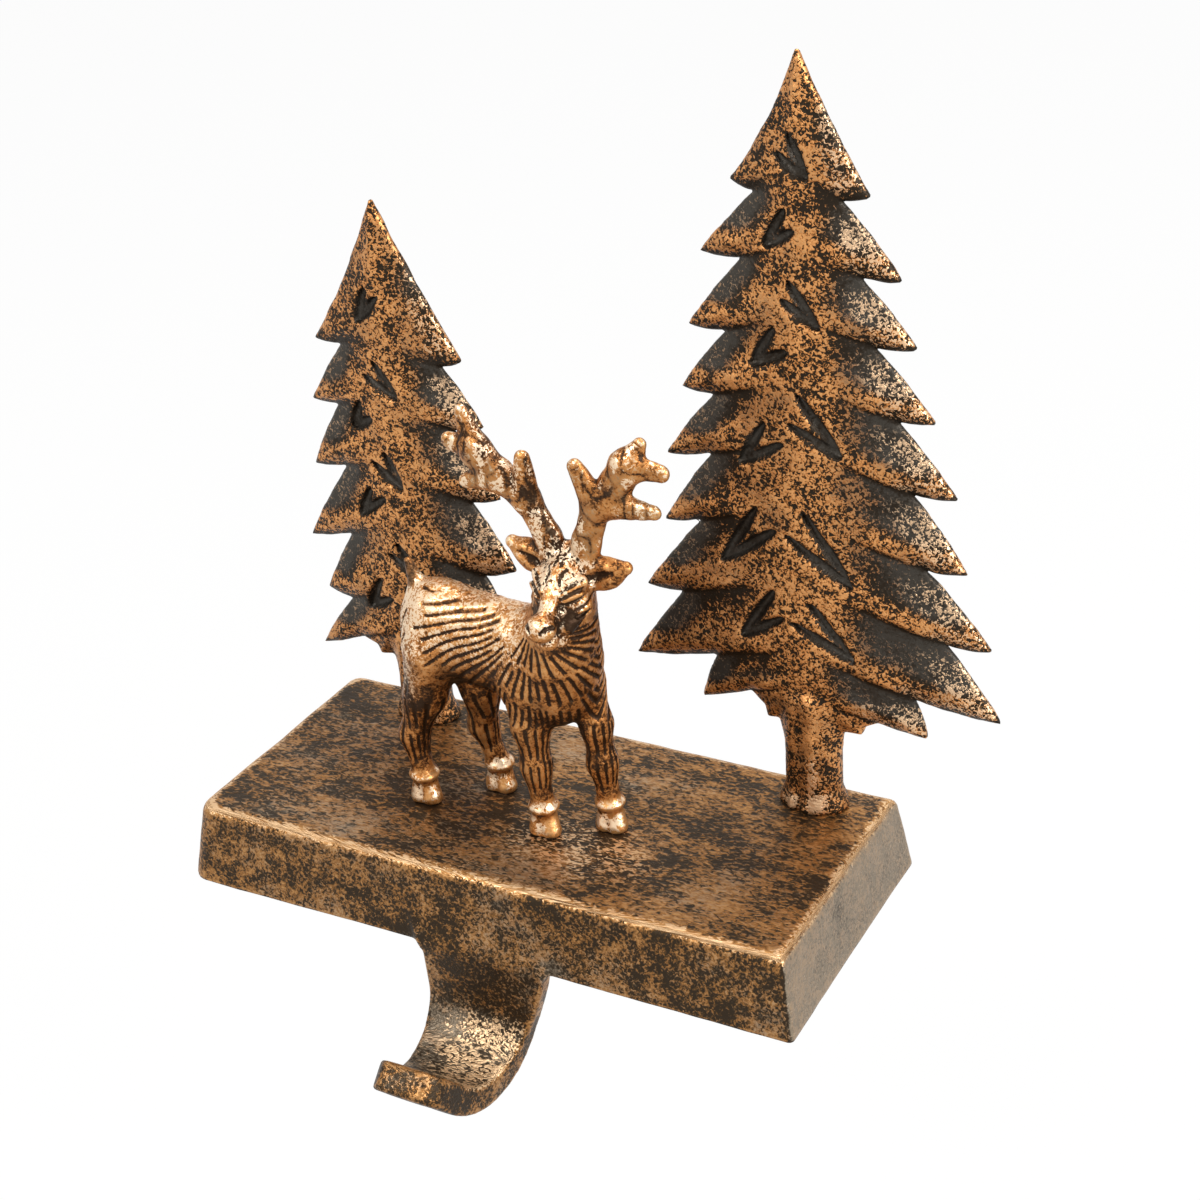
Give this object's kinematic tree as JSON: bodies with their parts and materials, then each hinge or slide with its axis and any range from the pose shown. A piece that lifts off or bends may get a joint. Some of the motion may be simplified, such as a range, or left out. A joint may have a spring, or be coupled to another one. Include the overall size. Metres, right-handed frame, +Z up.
{
  "type": "mantel stocking holder",
  "caption": "Weighted plinth that rests on a mantel, with a J hook below its front edge, carrying a standing reindeer in front of fir trees of unequal height",
  "frame": {"origin": "middle of the resting plane, on the underside of the non-slip sheet", "axes": "X along the mantel's edge, to the right as seen from the room; -Y out over the edge to the stocking; Z up"},
  "size_m": [0.1509, 0.0876, 0.1894],
  "materials": {
    "antique_copper": "dark cast metal with a rubbed copper patina on its raised edges",
    "sheet": "matt black non-slip sheet",
    "screw_steel": "plain steel"
  },
  "bodies": {
    "root": {"base_with_hook": "antique_copper", "non_slip_sheet": "sheet", "tall_tree": "antique_copper", "short_tree": "antique_copper", "reindeer": "antique_copper", "tall_tree_screw": "screw_steel", "short_tree_screw": "screw_steel", "deer_fore_screw": "screw_steel", "deer_hind_screw": "screw_steel"}
  },
  "joints": []
}
